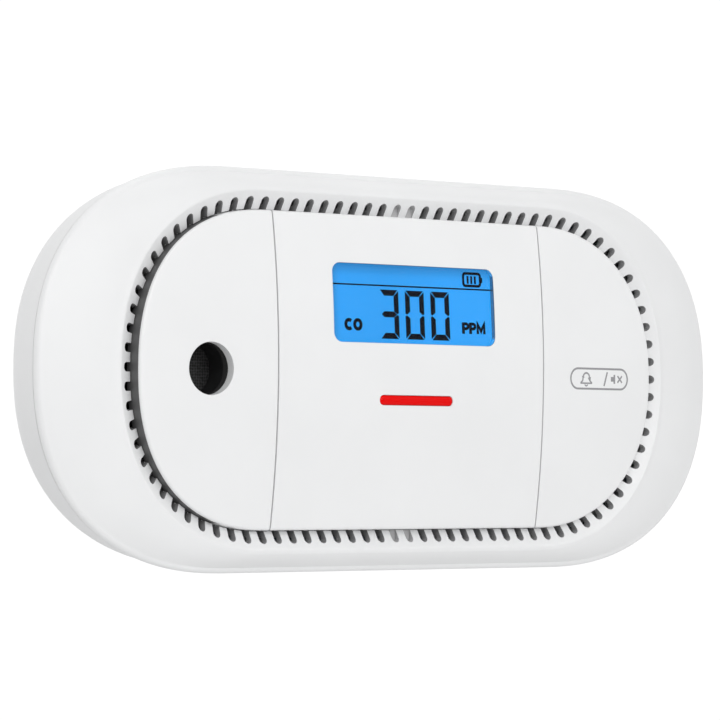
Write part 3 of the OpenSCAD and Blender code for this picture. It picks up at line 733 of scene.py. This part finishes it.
def ribbon(name, path, width, surface, closed=False, ink=INK):
    """A flat band of even width along a path, lying on surface(x, up)."""
    sharpest = 0.4  # limits how far a sharp corner reaches
    count = len(path)
    rows = []
    for i, here in enumerate(path):
        before = path[i - 1] if closed or i else None
        after = path[(i + 1) % count] if closed or i < count - 1 else None
        a = (Vector(here) - Vector(before)).normalized() if before else None
        b = (Vector(after) - Vector(here)).normalized() if after else a
        a = a or b
        across = Vector((-(a.y + b.y), a.x + b.x)).normalized()
        reach = width / 2 / max(across.dot(Vector((-a.y, a.x))), sharpest)
        rows.append([Vector(here) + across * reach, Vector(here) - across * reach])
    points = []
    for left, right in rows:
        for (x, up), lift in ((left, ink), (right, ink), (right, -ink), (left, -ink)):
            points.append((x, up, surface(x, up) + lift))
    faces = []
    for i in range(count if closed else count - 1):
        a, b = 4 * i, 4 * ((i + 1) % count)
        faces += [(a + k, a + (k + 1) % 4, b + (k + 1) % 4, b + k) for k in range(4)]
    if not closed:
        faces += [(0, 1, 2, 3), (4 * count - 4, 4 * count - 3, 4 * count - 2, 4 * count - 1)]
    return mesh_object(name, points, faces)


def filled_in(path, step=0.5):
    """A closed path with points added, so that a ribbon along it follows a curved face."""
    made = []
    for here, after in zip(path, path[1:] + path[:1]):
        a, b = Vector(here), Vector(after)
        count = max(1, round((b - a).length / step))
        made += [tuple(a + (b - a) * i / count) for i in range(count)]
    return made


def arc(x, up, rx, ry, start, end, steps=12):
    turns = [math.radians(start + (end - start) * i / steps) for i in range(steps + 1)]
    return [(x + rx * math.cos(t), up + ry * math.sin(t)) for t in turns]


def on_glass(x, up):
    """The front of the display's glass, which leans back as the face does there."""
    middle = CASE_DEPTH - CROWN_R * (1 - math.cos(WINDOW_TILT)) - GLASS_DEPTH
    return middle - (up - WINDOW_UP) * math.tan(WINDOW_TILT)


def flat_piece(name, loop):
    """A thin piece of ink on the display's glass."""
    rings = [[(x, up, on_glass(x, up) + lift) for x, up in loop] for lift in (-INK, INK)]
    return solid_loft(name, rings)


# The lit segments of each digit, named as usual from a at the top round to g.
DIGIT_SEGMENTS = {"0": "abcdef", "3": "abcdg"}


def digit(figure, left, low, w, h, t):
    """The mitred segments of one digit, whose outer box is w by h and stroke is t."""
    e = 0.07  # half of the gap between segments
    cut = 0.12  # off the box's corners
    half = h / 2
    flat = [(e + cut, h), (w - e - cut, h), (w - t - e, h - t), (t + e, h - t)]
    upright = [(w, h - e - cut), (w, half + 0.25), (w - 0.35, half + e),
               (w - t, half + t / 2 + e), (w - t, h - t - e)]
    bar = [(0.45, half), (t, half + t / 2), (w - t, half + t / 2), (w - 0.45, half),
           (w - t, half - t / 2), (t, half - t / 2)]
    shapes = {
        "a": flat, "d": [(x, h - y) for x, y in flat],
        "b": upright, "c": [(x, h - y) for x, y in upright],
        "f": [(w - x, y) for x, y in upright], "e": [(w - x, h - y) for x, y in upright],
        "g": bar,
    }
    return [flat_piece("segment", [(left + x, low + y) for x, y in shapes[key]])
            for key in DIGIT_SEGMENTS[figure]]


def make_reading(left, low):
    pieces = []
    for i, figure in enumerate("300"):
        pieces += digit(figure, left + DIGIT_PITCH * i, low, *DIGIT)
    return finished(join("lcd_reading", pieces), [lcd_ink], "alarm", "lcd")


def make_units(left, right, low):
    """The gas's symbol on the left of the reading, and the unit on its right."""
    h, w, bold = 1.65, 1.5, 0.66
    mid = low + h / 2
    pieces = [
        ribbon("c", arc(left + w / 2, mid, w / 2, h / 2, 48, 312), bold, on_glass),
        ribbon("o", arc(left + 1.88 * w, mid, w / 2, h / 2, 0, 345, 23), bold, on_glass, True),
    ]
    for x in (right, right + 1.75):
        bowl = arc(x + 0.65, low + 0.72 * h, 0.5, 0.28 * h, 90, -90)
        pieces.append(ribbon("p", [(x, low + h), *bowl, (x, low + 0.44 * h)], 0.56, on_glass))
        pieces.append(ribbon("p_stem", [(x, low - 0.24), (x, low + h + 0.24)], 0.66, on_glass))
    x = right + 3.55
    pieces.append(ribbon("m", [(x, low - 0.21), (x, low + h), (x + 0.8, low + 0.3),
                               (x + 1.6, low + h), (x + 1.6, low - 0.21)], 0.58, on_glass))
    return finished(join("lcd_units", pieces), [lcd_ink], "alarm", "lcd")


def make_battery_mark(left, low):
    size = (4.15, 2.35, 0.5)
    centre = (left + size[0] / 2, low + size[1] / 2)
    pieces = [ribbon("outline", rounded(size, centre, steps=3), 0.5, on_glass, True)]
    for i in range(3):
        x = left + 1.1 + 0.9 * i
        pieces.append(ribbon("cell", [(x, low + 0.4), (x, low + 1.85)], 0.44, on_glass))
    x = left + size[0] + 0.3
    pieces.append(ribbon("terminal", [(x, low + 0.65), (x, low + 1.65)], 0.5, on_glass))
    return finished(join("lcd_battery_mark", pieces), [lcd_ink], "alarm", "lcd")


def make_rule(up):
    half = 19.3  # just short of the window's edges
    rule = ribbon("lcd_rule", [(-half, up), (half, up)], 0.28, on_glass)
    return finished(rule, [lcd_ink], "alarm", "lcd")


def make_light_bar():
    """A bar whose rounded front stands just proud of the face."""
    play, roll, rise, steps = 0.05, 1.03, 0.38, 8
    rings = [[(x, up, SEAM + 5.9) for x, up in rounded(BAR, (0, BAR_UP), -play)]]
    for i in range(steps + 1):
        t = math.pi / 2 * i / steps
        loop = rounded(BAR, (0, BAR_UP), -play - roll * (1 - math.cos(t)))
        rings.append([(x, up, CASE_DEPTH - 0.3 + rise * math.sin(t)) for x, up in loop])
    bar = solid_loft("light_bar_lens", rings)
    return finished(smooth(bar, 60), [red_lens], "alarm", "red_diffuser", "light_bar")


def make_button_mark():
    """A rounded outline with a bell, a stroke and a muted loudspeaker inside it."""
    size = (15.6, 3.9, 1.94)
    x0, y0 = 47, -0.2
    pieces = []

    def path(*points):
        return [(x0 + x, y0 + y) for x, y in points]

    def printed(name, points, width, closed=False):
        pieces.append(ribbon(name, points, width, face, closed, BUTTON_INK))

    printed("outline", filled_in(rounded(size, (x0, y0), steps=12)), 0.38, True)
    left = x0 - 3.6
    bell = path((-5.1, -0.85), (-4.6, -0.4), (-4.45, 0.25))
    bell += arc(left, y0 + 0.25, 0.85, 0.85, 180, 0)
    bell += path((-2.75, 0.25), (-2.6, -0.4), (-2.1, -0.85))
    printed("bell", bell, 0.34)
    printed("bell_rim", path((-5.2, -0.88), (-3.6, -0.9), (-2, -0.88)), 0.3)
    printed("clapper", arc(left, y0 - 1, 0.4, 0.4, 200, 340), 0.26)
    printed("stroke", path((1.3, -1.35), (1.75, 0), (2.2, 1.35)), 0.38)
    printed("horn_box", path((3.2, 0), (4, 0)), 0.9)
    printed("horn", path((3.95, 0), (4.15, 0), (4.4, 0)), 1.75)
    for sign in (-1, 1):
        printed("cross", path((5.05, -0.65 * sign), (6.3, 0.65 * sign)), 0.34)
    mark = join("button_mark", pieces)
    return finished(mark, [ink_grey], "button", "case_white")


# ---------- Nodes that keep their CAD shape ----------


def soften(node, width):
    """Fine rounded edges on a CAD node."""
    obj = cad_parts[node]
    weld = obj.modifiers.new("weld", "WELD")
    weld.merge_threshold = 0.002 * MM
    bevel = obj.modifiers.new("edges", "BEVEL")
    bevel.width = width * MM
    bevel.segments = 2
    bevel.limit_method = "ANGLE"
    bevel.angle_limit = math.radians(40)
    normals = obj.modifiers.new("normals", "WEIGHTED_NORMAL")
    normals.keep_sharp = True


def paint_nodes():
    finishes = {
        "wall_bracket": bracket_grey, "battery_door": housing_white, "case_screws": steel,
        "rating_label": label_paper, "lcd_lens": clear_lens, "lcd_frame": inner_white,
        "lcd_glass": lcd_blue, "lcd_backlight": backlight_blue, "lcd_connector": rubber,
        "light_shroud": inner_white, "red_led": led_red, "green_led": led_green,
        "amber_led": led_amber, "main_board": board_green, "board_screws": steel,
        "microcontroller": chip_black, "amplifier_chip": chip_black, "driver_chip": chip_black,
        "capacitors": sleeve_blue, "boost_coil": ferrite, "small_components": component,
        "switch_body": black_plastic, "switch_plunger": ivory, "sounder_housing": black_plastic,
        "sounder_cover": black_plastic, "piezo_plate": brass, "piezo_ceramic": silvered,
        "sounder_gasket": rubber, "sounder_screen": screen_black,
        "sounder_wire_red": wire_red, "sounder_wire_black": wire_black,
        "sensor_can": steel, "sensor_cap": ivory, "sensor_pins": gold, "battery": sleeve_battery,
        "positive_contact": nickel, "negative_contact": nickel, "contact_spring": nickel,
    }
    for node, material in finishes.items():
        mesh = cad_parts[node].data
        mesh.materials.clear()
        mesh.materials.append(material)


# ---------- Room ----------


FRONT_GLOW = 0.4  # the world in front of the wall plane
BACK_GLOW = 1.05  # and behind it, which the camera sees
# Large soft lamps: name, azimuth from the front (positive to the right), elevation, watts.
LAMPS = [("key", 0, 18, 6.8), ("front_left", -40, 25, 7.9), ("front_right", 45, 15, 1.9),
         ("top", 0, 75, 4.9)]
LAMP_SIZE = 1.1  # metres
LAMP_REACH = 1.7  # metres from the frame's origin
FLOOR_R = 700
FLOOR_UP = -120


def area_light(name, azimuth, elevation, watts):
    turn, rise = math.radians(azimuth), math.radians(elevation)
    way = Vector((math.sin(turn) * math.cos(rise), -math.cos(turn) * math.cos(rise),
                  math.sin(rise)))
    light = bpy.data.lights.new(name, "AREA")
    light.size = LAMP_SIZE
    light.energy = watts
    lamp = bpy.data.objects.new(name, light)
    lamp.location = way * LAMP_REACH
    lamp.rotation_euler = (-way).to_track_quat("-Z", "Y").to_euler()
    bpy.context.scene.collection.objects.link(lamp)


def make_room():
    world = bpy.data.worlds.new("studio")
    bpy.context.scene.world = world
    world.use_nodes = True
    nodes, links = world.node_tree.nodes, world.node_tree.links
    way = nodes.new("ShaderNodeTexCoord").outputs["Generated"]
    split = nodes.new("ShaderNodeSeparateXYZ")
    spread = nodes.new("ShaderNodeMapRange")
    spread.inputs["From Min"].default_value = -0.1
    spread.inputs["From Max"].default_value = 0.5
    spread.inputs["To Min"].default_value = FRONT_GLOW
    spread.inputs["To Max"].default_value = BACK_GLOW
    links.new(way, split.inputs["Vector"])
    links.new(split.outputs["Y"], spread.inputs["Value"])
    links.new(spread.outputs["Result"], nodes["Background"].inputs["Strength"])
    nodes["Background"].inputs["Color"].default_value = (1, 1, 1, 1)
    for lamp in LAMPS:
        area_light(*lamp)
    disc = [(x, FLOOR_UP, out) for x, out in circle(0, 0, FLOOR_R, 96)]
    floor = mesh_object("floor", disc, [tuple(range(len(disc)))])
    floor.data.materials.append(floor_white)
    bpy.context.scene.view_settings.view_transform = "Standard"


CAMERA_PLACE = (-0.42493, -0.53925, -0.01542)  # in the frame's metres
CAMERA_LENS = 179.5
CAMERA_TURNS = (38.68, 1.53, 0.35)  # yaw, pitch and roll in degrees


def make_camera():
    yaw, pitch, roll = (math.radians(turn) for turn in CAMERA_TURNS)
    level = Vector((math.sin(yaw), math.cos(yaw), 0))
    forward = level * math.cos(pitch) + Vector((0, 0, math.sin(pitch)))
    across = Vector((math.cos(yaw), -math.sin(yaw), 0))
    above = across.cross(forward)
    right = across * math.cos(roll) + above * math.sin(roll)
    up = above * math.cos(roll) - across * math.sin(roll)
    data = bpy.data.cameras.new("camera")
    data.lens = CAMERA_LENS
    camera = bpy.data.objects.new("camera", data)
    basis = Matrix((right, up, -forward)).transposed()
    camera.matrix_world = Matrix.Translation(CAMERA_PLACE) @ basis.to_4x4()
    bpy.context.scene.collection.objects.link(camera)
    bpy.context.scene.camera = camera


make_camera()
make_room()
make_front_shell()
make_rear_housing()
make_display_panel()
make_sounder_panel()
make_test_button()
make_reading(-7.8, 6.25)
make_units(-15.95, 12.3, 7.9)
make_battery_mark(12.7, 16.75)
make_rule(16.1)
make_light_bar()
make_button_mark()
paint_nodes()
soften("wall_bracket", 0.35)
soften("battery_door", 0.2)
